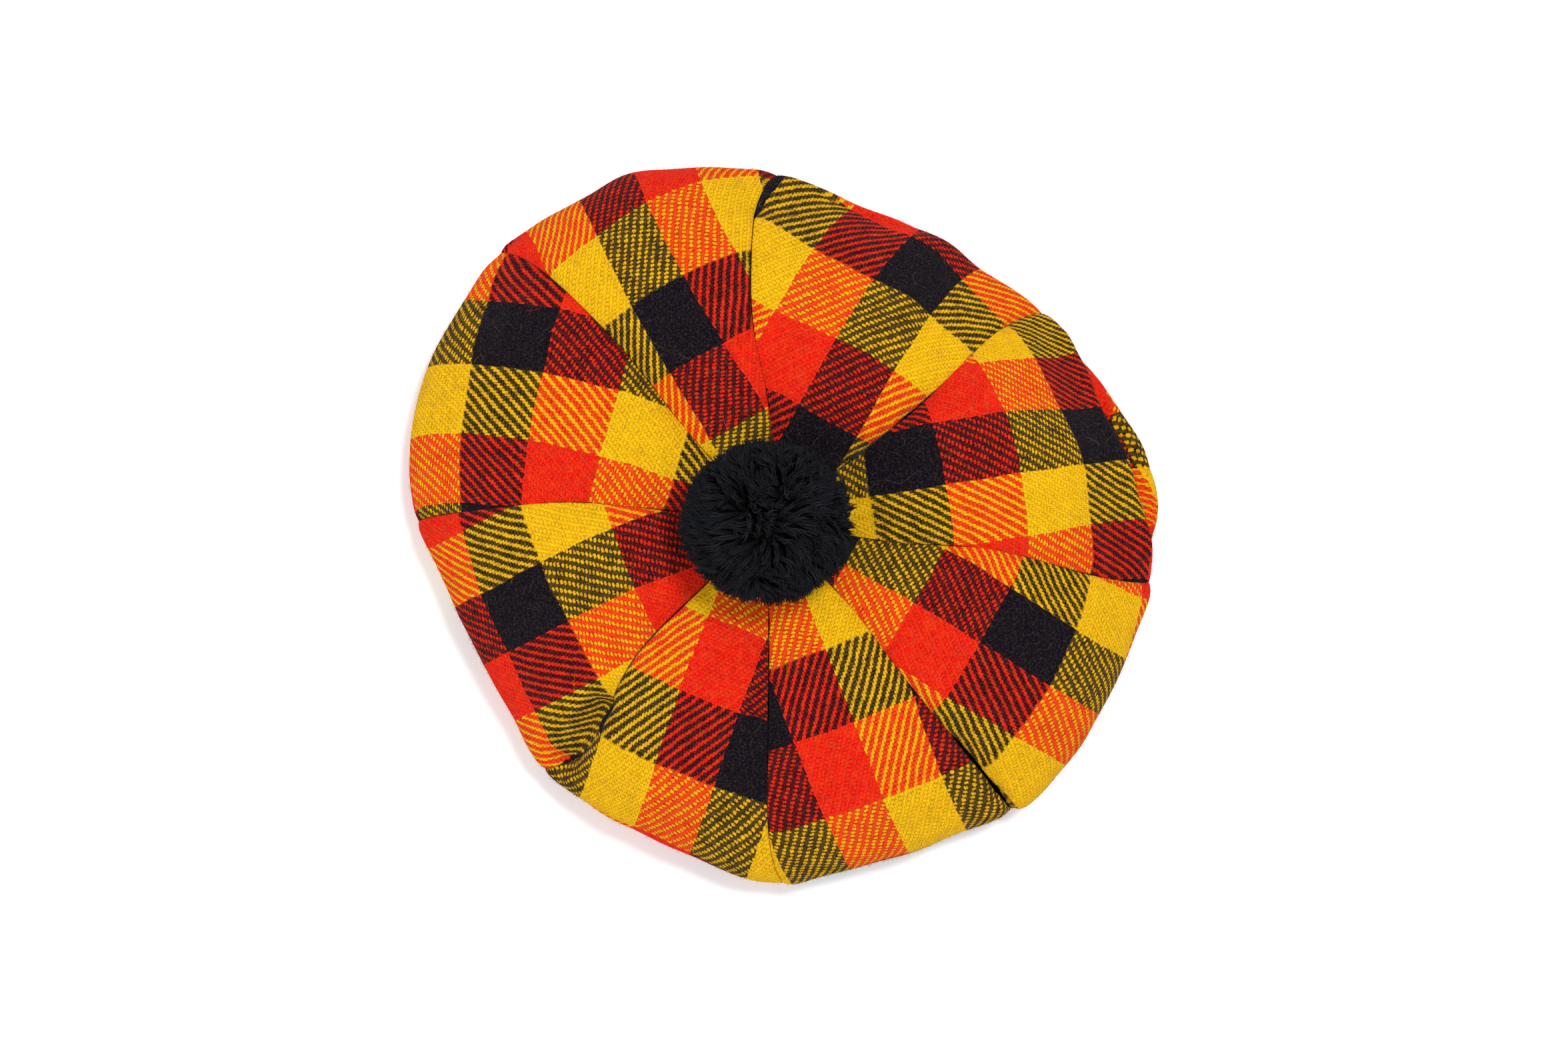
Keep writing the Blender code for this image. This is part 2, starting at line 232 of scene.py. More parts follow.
def cloth(gore, across, row):
    """The outer face of a gore: puffed between its seams, drawn in at them."""
    base, radius = smooth_cloth(gore, across, row)
    normal = outward(lambda *at: smooth_cloth(*at)[0], gore, across, row)
    width = gore_width(gore, row, radius)
    inside = np.clip(across, 0, 1)
    bulge = (4 * inside * (1 - inside)) ** PUFF_POWER
    to_seam = np.minimum(inside, 1 - inside) * width
    # A ridge dies away at a seam, and a valley runs on through it.
    fold = folds(base, normal[:, 2])
    fold *= np.where(fold > 0, np.clip(to_seam / SEAM_DIP, 0, 1), 1)
    lift = (
        PUFF_SHARE * profile("puff", row) * GORES["fullness"][gore] * bulge
        - GROOVE_SHARE * profile("groove", row) * np.exp(-((to_seam / GROOVE_WIDTH) ** 2))
        + fold
    )
    return base + normal * lift[:, None]


# ---- the cut of the cloth

MIDDLE_STEPS = 600  # along a gore's middle, to measure its length
FLAT_ACROSS, FLAT_ALONG = 17, 73  # grid on which a gore is laid flat
FLAT_ROUNDS = 500
FLAT_PUSH = 1.6  # of a point's mean error that one round takes back


def running(steps):
    """The running total of steps along their last axis, from 0."""
    start = np.zeros((*steps.shape[:-1], 1))
    return np.concatenate([start, np.cumsum(steps, axis=-1)], axis=-1)


def length_up_to(points):
    """The length of lines of points up to each of them."""
    return running(np.linalg.norm(np.diff(points, axis=-2), axis=-1))


def middle_line(surface, gore):
    """Close rows along the middle of a gore, and the length of cloth up to each."""
    rows = np.linspace(0, BAND_ROW, MIDDLE_STEPS)
    line = surface(gore, np.full(len(rows), 0.5), rows)
    return rows, length_up_to(line)


def even_rows(surface, gore, count):
    """Rows of the section at even steps along the middle of a gore."""
    rows, length = middle_line(surface, gore)
    return np.interp(np.linspace(0, length[-1], count), length, rows)


def lay_flat(gore, rows):
    """The flat panel that a gore was cut as, on a grid of even places across and
    these rows: every edge and diagonal keeps its length as nearly as it can. Along
    runs on x from the tip."""
    high, wide, middle = len(rows), FLAT_ACROSS, FLAT_ACROSS // 2
    across = np.tile(np.linspace(0, 1, wide), high)
    points = cloth(gore, across, np.repeat(rows, wide)).reshape(high, wide, 3)
    along, side = length_up_to(points[:, middle]), length_up_to(points)
    side -= side[:, middle:middle + 1]
    flat = np.stack([np.repeat(along[:, None], wide, axis=1), side], axis=2)

    index = np.arange(high * wide).reshape(high, wide)
    pairs = [
        (index[:-1], index[1:]), (index[:, :-1], index[:, 1:]),
        (index[:-1, :-1], index[1:, 1:]), (index[:-1, 1:], index[1:, :-1]),
    ]
    first, second = (np.concatenate([pair[i].ravel() for pair in pairs]) for i in range(2))
    solid, flat = points.reshape(-1, 3), flat.reshape(-1, 2)
    length = np.linalg.norm(solid[second] - solid[first], axis=1)
    share = np.bincount(first, minlength=len(flat)) + np.bincount(second, minlength=len(flat))
    for _ in range(FLAT_ROUNDS):
        run = flat[second] - flat[first]
        now = np.linalg.norm(run, axis=1)
        push = run * (0.5 * (1 - length / now))[:, None]
        for axis in range(2):
            move = np.bincount(first, push[:, axis], len(flat))
            move -= np.bincount(second, push[:, axis], len(flat))
            flat[:, axis] += FLAT_PUSH * move / share
    flat = flat.reshape(high, wide, 2)
    # Set on its own axis: the tip at 0, the middle of the rim straight out on x.
    flat -= flat[0, middle]
    out = flat[high // 2, middle]
    turn = -math.atan2(out[1], out[0])
    spin = np.array(((math.cos(turn), -math.sin(turn)), (math.sin(turn), math.cos(turn))))
    return flat @ spin.T


# ---- the check cloth

CHECK_U, CHECK_V = 27.9, 23.0  # width of one colour, counted by picks and by ends
PICKS, ENDS = 23, 27  # threads in that width
# Ends lie side by side, and picks lie apart, narrower than their spacing. Each
# float slants with its yarn's twist.
PICK_NARROW, END_NARROW = 1.3, 0.86
PICK_SLANT, END_SLANT = -0.15, 0.28
PLY_LEAN, PLY_LINES = 0.9, 5.2  # slant and closeness of the yarn's plies
GRAIN = (
    (-172, 1.15, 1.20, 0.10, -0.10, 0.20, -0.10),
    (-170, 2.20, 2.85, -0.10, 0.00, 0.20, 0.05),
    (-2, 1.25, 1.70, 0.00, -0.05, -0.20, 0.20),
    (179, 1.25, 2.70, 0.05, -0.10, 0.15, 0.20),
    (2, 2.40, 2.95, 0.05, -0.10, 0.05, 0.20),
    (179, 1.95, 2.00, 0.05, -0.10, -0.05, -0.10),
    (-8, 2.85, 0.80, 0.05, 0.10, 0.20, 0.05),
    (-7, 0.65, 1.50, -0.10, 0.00, -0.20, 0.20),
)
EASE_ACROSS = 150.0  # from the tip, where the ease across is as given
EASE_FROM, EASE_SPAN = 75.0, 70.0  # where the ease along begins, and its reach
YELLOW = (0.635, 0.362, 0.0035)
NAVY = (0.0046, 0.0032, 0.0070)
RED = (0.60, 0.0085, 0.0035)
CHECK_COLOURS = (YELLOW, NAVY, RED)
STRAY_NAP = (0.62, 0.12, 0.008)
PALE_LINT = (0.50, 0.38, 0.24)
# How threads wander from their straight lines: waves to the metre, and reach in
# widths of a thread.
WANDER = ((60, 1.8), (420, 0.9), (1500, 0.8))
# Waves to the metre of the wool's hairs, its thick places, its clouds of nap, the
# nap that strays and the lint.
HAIRS_SCALE, SLUBS_SCALE, CLOUDS_SCALE, NAP_SCALE, LINT_SCALE = 2600, 230, 90, 380, 1300
FLOAT_ENDS = 0.9  # how much a float of yarn rounds off at its ends
FRAY, SLUB_FRAY = 2.2, 1.4  # of its edges, by hairs and by thick places
OTHER_HAIRS, WORN = 0.18, 0.55  # most that the other yarn shows through
# Light and dark: the level, and what each thread's shade, the clouds of nap, the
# hairs, and the painted shade between plies and in the crevices add to it.
LIGHT_LEVEL, LIGHT_PARTS = 0.84, (0.24, 0.18, 0.16, 0.10, 1.0)
RELIEF_DEPTH = 0.00018  # of the threads, for the bump


class Shading:
    """One material's nodes, made by short calls. A value is a socket or a constant."""

    def __init__(self, name):
        self.material = bpy.data.materials.new(name)
        self.material.use_nodes = True
        self.tree = self.material.node_tree
        self.shader = self.tree.nodes["Principled BSDF"]

    def add(self, kind, **settings):
        node = self.tree.nodes.new("ShaderNode" + kind)
        for name, value in settings.items():
            setattr(node, name, value)
        return node

    def link(self, value, socket):
        if isinstance(value, bpy.types.NodeSocket):
            self.tree.links.new(value, socket)
        else:
            socket.default_value = value

    def feed(self, node, **values):
        """Sets a node's sockets, named with _ for a space."""
        for name, value in values.items():
            self.link(value, node.inputs[name.replace("_", " ")])
        return node.outputs

    def surface(self, **values):
        self.feed(self.shader, **values)

    def split(self, vector):
        """The three parts of a vector."""
        return self.feed(self.add("SeparateXYZ"), Vector=vector)

    def math(self, operation, *values):
        node = self.add("Math", operation=operation)
        for value, socket in zip(values, node.inputs):
            self.link(value, socket)
        return node.outputs[0]

    def times(self, first, second):
        return self.math("MULTIPLY", first, second)

    def total(self, base, *parts):
        """A base with parts added to it, each as a value and its weight."""
        for value, weight in parts:
            base = self.math("MULTIPLY_ADD", value, weight, base)
        return base

    def stir(self, value, wave, reach):
        """Moves a value by a wave from 0 to 1 about 0.5."""
        return self.total(value, (self.math("SUBTRACT", wave, 0.5), reach))

    def ramp(self, value, low, high, to_low=0.0, to_high=1.0):
        """A smooth step of value from low to high."""
        node = self.add("MapRange", interpolation_type="SMOOTHSTEP")
        for number, socket in zip((value, low, high, to_low, to_high), node.inputs):
            self.link(number, socket)
        return node.outputs[0]

    def mix(self, factor, first, second, blend="MIX"):
        node = self.add("Mix", data_type="RGBA", blend_type=blend)
        for value, index in zip((factor, first, second), (0, 6, 7)):
            self.link(value, node.inputs[index])
        return node.outputs[2]

    def pick(self, factor, first, second):
        """Mixes two numbers."""
        node = self.add("Mix", data_type="FLOAT")
        for value, index in zip((factor, first, second), (0, 2, 3)):
            self.link(value, node.inputs[index])
        return node.outputs[0]

    def noise(self, vector, scale, detail=2.0, rough=0.5):
        """Noise from 0 to 1 about 0.5, over a vector in metres."""
        node = self.add("TexNoise")
        return self.feed(node, Vector=vector, Scale=scale, Detail=detail, Roughness=rough)["Fac"]

    def chance(self, value):
        """A random number from 0 to 1 for each whole number."""
        return self.feed(self.add("TexWhiteNoise", noise_dimensions="1D"), W=value)["Value"]

    def bands(self, value):
        """The check's colours in turn, one for each whole step of value."""
        node = self.add("ValToRGB")
        node.color_ramp.interpolation = "CONSTANT"
        elements = node.color_ramp.elements
        while len(elements) < len(CHECK_COLOURS):
            elements.new(0.5)
        for i, colour in enumerate(CHECK_COLOURS):
            elements[i].position = i / len(CHECK_COLOURS)
            elements[i].color = (*colour, 1)
        self.link(self.math("FRACT", self.math("DIVIDE", value, len(CHECK_COLOURS))), node.inputs[0])
        return node.outputs["Color"]

    def bump(self, height, distance, strength):
        node = self.add("Bump")
        return self.feed(node, Strength=strength, Distance=distance, Height=height)["Normal"]


def check_wool(name):
    """Brushed 2/2 twill in a check of three colours, thread by thread. The map
    Cloth counts colours, with picks along u and ends along v."""
    make = Shading(name)
    threads_at = make.split(make.add("UVMap", uv_map="Cloth").outputs[0])
    place = make.add("NewGeometry").outputs["Position"]

    # Threads wander from their straight lines, and their edges are frayed.
    def wander(axis, offset, threads):
        moved = make.add("VectorMath", operation="ADD")
        make.link(place, moved.inputs[0])
        make.link((offset, offset, offset), moved.inputs[1])
        result = threads_at[axis]
        for scale, reach in WANDER:
            result = make.stir(result, make.noise(moved.outputs[0], scale), reach / threads)
        return result

    u, v = wander("X", 0.0, PICKS), wander("Y", 7.0, ENDS)
    pick, end = make.times(u, PICKS), make.times(v, ENDS)
    pick_number, end_number = make.math("FLOOR", pick), make.math("FLOOR", end)
    pick_share, end_share = make.math("FRACT", pick), make.math("FRACT", end)
    step = make.math("FLOORED_MODULO", make.math("ADD", pick_number, end_number), 4.0)
    end_on_top = make.math("LESS_THAN", step, 1.5)

    # Where a point lies on the float of yarn over it, from -1 to 1 each way.
    crossing = make.pick(end_on_top, end_share, pick_share)
    across = make.total(-1.0, (make.pick(end_on_top, pick_share, end_share), 2.0))
    along = make.math("ADD", make.math("FLOORED_MODULO", step, 2.0), crossing)
    along = make.math("SUBTRACT", along, 1.0)
    narrow = make.pick(end_on_top, PICK_NARROW, END_NARROW)
    lean = make.times(along, make.pick(end_on_top, PICK_SLANT, END_SLANT))
    slant = make.total(lean, (across, narrow))
    far_along, far_aside = make.math("ABSOLUTE", along), make.math("ABSOLUTE", slant)
    round_off = make.math("POWER", far_aside, 2.0)
    round_off = make.total(round_off, (make.math("POWER", far_along, 4.0), FLOAT_ENDS))
    hair = make.noise(place, HAIRS_SCALE, 3.0, 0.7)
    slub = make.noise(place, SLUBS_SCALE)
    edge = make.stir(make.stir(round_off, hair, FRAY), slub, SLUB_FRAY)
    cover = make.ramp(edge, 1.7, 0.3)

    # Hairs of each yarn lie over the other, so neither keeps its colour clean.
    pick_colour, end_colour = make.bands(u), make.bands(v)
    top = make.mix(end_on_top, pick_colour, end_colour)
    other = make.mix(end_on_top, end_colour, pick_colour)
    under = make.mix(1.0, pick_colour, end_colour, "DARKEN")
    pair = make.math("FLOOR", make.times(pick_number, 0.5))
    float_chance = make.chance(make.total(end_number, (pair, 97.0)))
    top = make.mix(make.ramp(hair, 0.25, 0.75, 0.0, OTHER_HAIRS), top, other)
    worn = make.times(make.ramp(slub, 0.3, 0.7, 0.15, 1.0), float_chance)
    top = make.mix(make.times(worn, WORN), top, under)
    colour = make.mix(cover, under, top)

    # Each thread's own shade, soft clouds of nap, and painted shade between threads and plies.
    end_chance = make.chance(make.math("ADD", end_number, 500.0))
    shade = make.pick(0.5, make.pick(end_on_top, make.chance(pick_number), end_chance), float_chance)
    # Stripes along the plies: painted shade between them in the colour, and relief in the bump.
    ply = make.total(across, (along, PLY_LEAN))
    ply = make.math("SINE", make.total(make.times(float_chance, 6.0), (ply, PLY_LINES)))
    cloud = make.noise(place, CLOUDS_SCALE, 3.0, 0.6)
    side = make.math("DIVIDE", far_aside, narrow)
    # Painted shade in the crevices between the floats of yarn.
    painted_crevice_shade = make.stir(make.math("MAXIMUM", side, far_along), hair, 0.7)
    painted_crevice_shade = make.ramp(painted_crevice_shade, 0.62, 1.08, 0.0, -0.56)
    parts = zip((shade, cloud, hair, ply, painted_crevice_shade), LIGHT_PARTS)
    light = make.total(LIGHT_LEVEL, *parts)
    colour = make.mix(1.0, colour, light, "MULTIPLY")
    # The nap of the red and the yellow yarns strays over both, and not over the navy.
    red = make.feed(make.add("SeparateColor"), Color=colour)["Red"]
    nap = make.ramp(make.noise(place, NAP_SCALE, 5.0, 0.75), 0.38, 0.72, 0.0, 0.30)
    nap = make.times(nap, red)
    colour = make.mix(nap, colour, (*STRAY_NAP, 1))
    # Loose pale hairs that lie over the threads.
    lint = make.ramp(make.noise(place, LINT_SCALE, 4.0, 0.75), 0.45, 0.80, 0.0, 0.08)
    colour = make.mix(lint, colour, (*PALE_LINT, 1))

    height = make.math("SUBTRACT", 1.2, make.math("MINIMUM", round_off, 1.2))
    height = make.total(height, (hair, 1.2), (ply, 0.3))
    make.surface(
        Base_Color=colour, Roughness=0.95, Specular_IOR_Level=0.0,
        Sheen_Weight=0.03, Sheen_Roughness=0.5, Sheen_Tint=(1.0, 0.93, 0.85, 1),
        Normal=make.bump(height, RELIEF_DEPTH, 0.7),
    )
    return make.material


# ---- the gores

EDGE_STEPS = (0.0, 0.0016, 0.005, 0.010, 0.018, 0.030)  # shares of a gore's width
MIDDLE_COLUMNS = 49
LONG_ROWS = 168
SEAM_CLEAR = 0.02  # from a gore's edge to the middle of its seam
EDGE_ROUND = 0.6  # radius of a gore's edge where it turns into the seam
# Relief of the worn cloth: size, rise, and how far from a seam it fades, 0 for all over.
RELIEF = (
    (42.0, 1.7, 0.0),
    (17.0, 0.8, 0.0),
    (9.0, 1.1, 8.0),
    (4.5, 0.4, 4.0),
)

# The right gore's cloth is tucked in under its brow and swells out below it. The
# tuck's middle and reach across the gore, and how many rows nearer the rim it lies
# at its ends; the middle and the reach of the swell; and for each row how far the
# cloth lies inwards, its rise, its swell and how much of it is taken up.
TUCK_GORE = 6
TUCK_MIDDLE, TUCK_REACH, TUCK_SHIFT = 0.46, 0.43, 1.8
SWELL_MIDDLE, SWELL_REACH = 0.28, 0.26
TUCK = table(
    "row inwards rise swell taken",
    (7.40, 0.0, 0.0, 0.0, 0.0),
    (7.85, 0.0, 0.6, 0.0, 0.0),
    (8.10, 0.8, 0.2, 0.0, 0.5),
    (8.30, 2.3, -1.3, 0.0, 4.0),
    (8.50, 5.8, -2.3, 0.0, 9.0),
    (8.70, 10.2, -2.1, 0.0, 14.0),
    (8.85, 12.4, -2.0, 0.0, 17.0),
    (9.00, 11.5, -1.9, 0.2, 21.0),
    (9.20, 7.7, -0.9, 0.4, 23.5),
    (9.40, 3.7, -0.1, 0.8, 25.0),
    (9.60, 1.0, -0.2, 1.2, 26.0),
    (9.80, -0.4, -0.6, 1.7, 27.0),
    (10.00, -1.2, -0.8, 2.0, 27.5),
    (10.20, -1.0, -1.4, 2.0, 28.0),
    (10.50, -0.6, -1.6, 1.5, 28.0),
    (11.00, -0.2, -0.4, 0.8, 28.0),
    (11.60, 0.0, 0.0, 0.0, 28.0),
)


def tuck(gore, across, row, name):
    """One column of the tuck at places of a gore, with how deep the tuck is there."""
    if gore != TUCK_GORE:
        return np.zeros((2, *np.shape(across)))
    share = np.clip(1 - ((across - TUCK_MIDDLE) / TUCK_REACH) ** 2, 0, 1)
    rows = TUCK["row"]
    row = np.clip(row - TUCK_SHIFT * (1 - share), rows[0], rows[-1])
    return smooth(rows, TUCK[name], row), share


def tuck_length(gore, across, row):
    """The cloth that the tuck has taken up before a place."""
    taken, share = tuck(gore, across, row, "taken")
    return taken * share


def tucked_cloth(gore, across, row):
    """The outer face of a gore with its tuck."""
    points = cloth(gore, across, row)
    inwards, share = tuck(gore, across, row, "inwards")
    rise = tuck(gore, across, row, "rise")[0]
    swell = tuck(gore, across, row, "swell")[0]
    swell *= np.clip(1 - ((across - SWELL_MIDDLE) / SWELL_REACH) ** 2, 0, 1)
    way = unit(points[:, :2] - (CROWN_X, CROWN_Y))
    points[:, :2] += way * (swell - inwards * np.sqrt(share))[:, None]
    points[:, 2] += rise * np.sqrt(share)
    return points


def waves(points, size, seed):
    """Smooth random heights from -1 to 1 over points, in waves of that size."""
    shift = Vector((seed * 13.7, seed * 5.1, seed * 9.3))
    return np.array([noise.noise(Vector(p) / size + shift) for p in points])


def across_columns():
    """Places across a gore, close together at its seams."""
    last = EDGE_STEPS[-1]
    side = np.array(EDGE_STEPS[:-1])
    return np.concatenate([side, np.linspace(last, 1 - last, MIDDLE_COLUMNS), 1 - side[::-1]])


def worn_cloth(gore, across, row):
    """Outer and inner face of a gore with its puckers, swells and rounded edges."""
    base = tucked_cloth(gore, across, row)
    normal = outward(tucked_cloth, gore, across, row)
    radius = smooth_cloth(gore, across, row)[1]
    to_seam = np.minimum(across, 1 - across) * gore_width(gore, row, radius)
    lift = np.zeros(len(base))
    for seed, (size, rise, reach) in enumerate(RELIEF):
        fade = np.exp(-to_seam / reach) if reach else 1.0
        lift += rise * fade * waves(base, size, seed + 1)
    turn = np.clip(1 - to_seam / EDGE_ROUND, 0, 1)
    lift -= EDGE_ROUND * (1 - np.sqrt(1 - turn**2))
    outer = base + normal * lift[:, None]
    inner = base + normal * (lift * (turn == 0) - CLOTH)[:, None]
    return outer, inner


def spread(flat, across, rows, all_rows):
    """A gore's flat grid read at other places across and along it."""
    coarse = np.linspace(0, 1, flat.shape[1])
    wide = np.apply_along_axis(lambda line: np.interp(across, coarse, line), 1, flat)
    return np.apply_along_axis(lambda line: np.interp(rows, all_rows, line), 0, wide)


def check_map(gore, flat):
    """The check's count of colours over a gore's flat places."""
    angle, u0, v0, over, rim, first, second = GRAIN[gore]
    c, s = math.cos(math.radians(angle)), math.sin(math.radians(angle))
    x, y = flat[..., 0], flat[..., 1]
    share = np.clip((x - EASE_FROM) / EASE_SPAN, 0, 1)
    lag = first * np.maximum(0, -y) + second * np.maximum(0, y)
    y = y * (1 + over * x / EASE_ACROSS)
    x = x + (EASE_SPAN * rim - lag) * share**2 * (3 - 2 * share)
    return np.stack([(c * x + s * y) / CHECK_U + u0, (-s * x + c * y) / CHECK_V + v0], axis=-1)


def new_item(name, data):
    item = bpy.data.objects.new(name, data)
    bpy.context.scene.collection.objects.link(item)
    return item


def new_mesh(name, points, faces, material, maps=()):
    """An object of points in millimetres, with maps of a UV for each face corner."""
    mesh = bpy.data.meshes.new(name)
    mesh.from_pydata((np.asarray(points) * MM).tolist(), [], faces)
    for label, values in maps:
        layer = mesh.uv_layers.new(name=label)
        layer.data.foreach_set("uv", np.asarray(values, np.float32).ravel())
        mesh.uv_layers.active_index = 0
    mesh.materials.append(material)
    mesh.shade_smooth()
    item = new_item(name, mesh)
    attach(item, "root")
    return item


def grid_faces(high, wide):
    """Quads of a grid of points."""
    corner = (np.arange(high - 1)[:, None] * wide + np.arange(wide - 1)).ravel()
    return np.stack([corner, corner + 1, corner + wide + 1, corner + wide], axis=1)


def unit(vectors):
    return vectors / (np.linalg.norm(vectors, axis=-1)[..., None] + 1e-12)


def sideways(push, ways):
    """The part of a push that is square to each unit way."""
    return push - (push * ways).sum(axis=-1)[..., None] * ways


def corner_steps(*corners):
    """Two counts of steps for each corner of each face."""
    return np.stack([np.stack(np.broadcast_arrays(*pair), axis=1) for pair in corners], axis=1)


def edge_loop(high, wide):
    """The points round a grid's edge, in order."""
    index = np.arange(high * wide).reshape(high, wide)
    return np.concatenate([index[0], index[1:, -1], index[-1, -2::-1], index[-2:0:-1, 0]])


def bake_map(flat, quads, walls):
    """A map with no overlaps: the outer face, a strip for the edge, the inner face."""
    low, high = flat.min(axis=0), flat.max(axis=0)
    even = (flat - low) / (high - low)
    margin = 0.01
    wide, outer_high, inner_high, inner_foot = 0.98, 0.60, 0.30, 0.68
    outer = even * (wide, outer_high) + (margin, margin)
    inner = even * (wide, inner_high) + (margin, inner_foot)
    points = np.concatenate([outer, inner])
    foot, top = 0.63, 0.66
    strip = np.linspace(margin, margin + wide, len(walls) + 1)
    sides = np.array([((b, foot), (a, foot), (a, top), (b, top)) for a, b in zip(strip, strip[1:])])
    return np.concatenate([points[quads.ravel()], sides.reshape(-1, 2)])


def make_gore(gore, material):
    """One gore of check cloth, from under the pompom to the headband."""
    columns = across_columns()
    rows = even_rows(tucked_cloth, gore, LONG_ROWS)
    row = np.repeat(rows, len(columns))
    across = np.tile(columns, len(rows))
    radius = smooth_cloth(gore, across, row)[1]
    edge = SEAM_CLEAR / gore_width(gore, row, radius)
    outer, inner = worn_cloth(gore, edge + across * (1 - 2 * edge), row)

    coarse_rows = even_rows(cloth, gore, FLAT_ALONG)
    flat = spread(lay_flat(gore, coarse_rows), columns, rows, coarse_rows)
    flat[..., 0] += tuck_length(gore, across, row).reshape(flat.shape[:2])
    count, wide, high = len(outer), len(columns), len(rows)
    quads = grid_faces(high, wide)
    quads = np.concatenate([quads, quads[:, ::-1] + count])
    loop = edge_loop(high, wide)
    after = np.roll(loop, -1)
    walls = np.stack([after, loop, loop + count, after + count], axis=1)
    faces = np.concatenate([quads, walls])

    check = np.tile(check_map(gore, flat).reshape(-1, 2), (2, 1))
    item = new_mesh(
        f"gore_{gore + 1}_cloth", np.concatenate([outer, inner]), faces.tolist(), material,
        maps=(
            ("Cloth", check[faces.ravel()]),
            ("OFBake", bake_map(flat.reshape(-1, 2), quads, walls)),
        ),
    )
    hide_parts(f"gore_{gore + 1}")
    size = np.ptp(flat, axis=(0, 1)) * MM
    first, second = flat[1:, 1:] - flat[:-1, :-1], flat[1:, :-1] - flat[:-1, 1:]
    area = abs(np.cross(first, second)).sum() / 2 * MM**2
    return item, (float(size[1]), float(size[0])), float(area)


# ---- the headband

BAND_STEPS = 240  # round the ring
BAND_LEVELS = 20  # up its outer and its inner face
EDGE_STEPS_ROUND = 8  # over its upper and lower edge


def make_headband(material):
    """The ring of doubled cloth that the head goes into, its edges rounded."""
    half = BAND_WALL / 2
    middle = BAND_RADIUS - half
    turn = np.linspace(0, math.pi, EDGE_STEPS_ROUND + 1)
    over, by = half * np.cos(turn), half * np.sin(turn)
    rise = np.linspace(half, BAND_HEIGHT - half, BAND_LEVELS)[1:-1]
    face = np.full(len(rise), BAND_RADIUS)
    out = np.concatenate([middle - over, face, middle + over, face - BAND_WALL])
    up = np.concatenate([half - by, rise, BAND_HEIGHT - half + by, rise[::-1]])
    length = length_up_to(np.stack([np.append(out, out[0]), np.append(up, up[0])], axis=1))
    angle = np.linspace(0, math.tau, BAND_STEPS, endpoint=False)
    x, y = np.outer(np.cos(angle), out), np.outer(np.sin(angle), out)
    points = np.stack([x, y, np.tile(up, (BAND_STEPS, 1))], axis=2)
    wide = len(out)
    i, j = (index.ravel() for index in np.indices((BAND_STEPS, wide)))
    corners = corner_steps((i, j), (i + 1, j), (i + 1, j + 1), (i, j + 1))
    turns, levels = corners[..., 0], corners[..., 1]
    step = math.tau * middle / BAND_STEPS
    check = np.stack([turns * step / CHECK_U, length[levels] / CHECK_V], axis=2)
    faces = (turns % BAND_STEPS * wide + levels % wide).tolist()
    maps = (("Cloth", check),)
    item = new_mesh("headband_cloth", points.reshape(-1, 3), faces, material, maps)
    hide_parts("headband")
    return item


# ---- yarn and hairs

BAKE_MARGIN = 0.06  # of a tube's own place in its map
HAIR_SIDES = 3


def tubes(name, paths, radii, shades, sides, material):
    """Closed thin tubes along paths (tube, point, axis), pointed at both ends, as
    one mesh. radii are by tube and point; shades are one number for each tube. The
    map Yarn goes round on u and along in millimetres on v."""
    count, long = paths.shape[:2]
    tangent = unit(np.gradient(paths, axis=1))
    least = np.eye(3)[np.abs(tangent[:, 0]).argmin(axis=1)]
    over = np.cross(tangent[:, 0], least)[:, None, :] * np.ones((1, long, 1))
    over = unit(sideways(over, tangent))
    third = np.cross(tangent, over)
    turn = np.linspace(0, math.tau, sides, endpoint=False)
    ring = over[:, :, None] * np.cos(turn)[:, None] + third[:, :, None] * np.sin(turn)[:, None]
    rings = paths[:, 1:-1, None] + ring[:, 1:-1] * radii[:, 1:-1, None, None]
    inner = long - 2
    each = inner * sides + 2
    points = np.concatenate([
        paths[:, :1], rings.reshape(count, inner * sides, 3), paths[:, -1:],
    ], axis=1).reshape(-1, 3)

    k, s = (index.ravel() for index in np.indices((inner - 1, sides)))
    walls = corner_steps((s, k + 1), (s + 1, k + 1), (s + 1, k + 2), (s, k + 2))
    s = np.arange(sides)
    ends = (
        corner_steps((s, 0), (s + 1, 1), (s, 1)),
        corner_steps((s, long - 1), (s, inner), (s + 1, inner)),
    )
    length = length_up_to(paths)
    tube = np.arange(count)
    wide = math.ceil(math.sqrt(count))
    cell = np.stack([tube % wide, tube // wide], axis=1)[:, None]
    faces, yarn_map, bake = [], [], []
    for corners in (walls, np.concatenate(ends)):
        turns, levels = corners[..., 0], corners[..., 1]
        # A path's two ends are one point each, whatever the turn.
        index = np.clip(1 + (levels - 1) * sides + turns % sides, 0, each - 1)
        faces += (index + tube[:, None, None] * each).reshape(-1, index.shape[1]).tolist()
        turns, levels = turns.ravel(), levels.ravel()
        around = np.tile(turns / sides, (count, 1))
        yarn_map.append(np.stack([around, length[:, levels]], axis=2).reshape(-1, 2))
        within = np.stack([around, np.tile(levels / (long - 1), (count, 1))], axis=2)
        within = BAKE_MARGIN + (1 - 2 * BAKE_MARGIN) * within
        bake.append(((cell + within) / wide).reshape(-1, 2))
    item = new_mesh(
        name, points, faces, material,
        maps=(("Yarn", np.concatenate(yarn_map)), ("OFBake", np.concatenate(bake))),
    )
    shade = item.data.attributes.new("shade", "FLOAT", "POINT")
    shade.data.foreach_set("value", np.repeat(shades, each).astype(np.float32))
    return item


# ---- the pompom

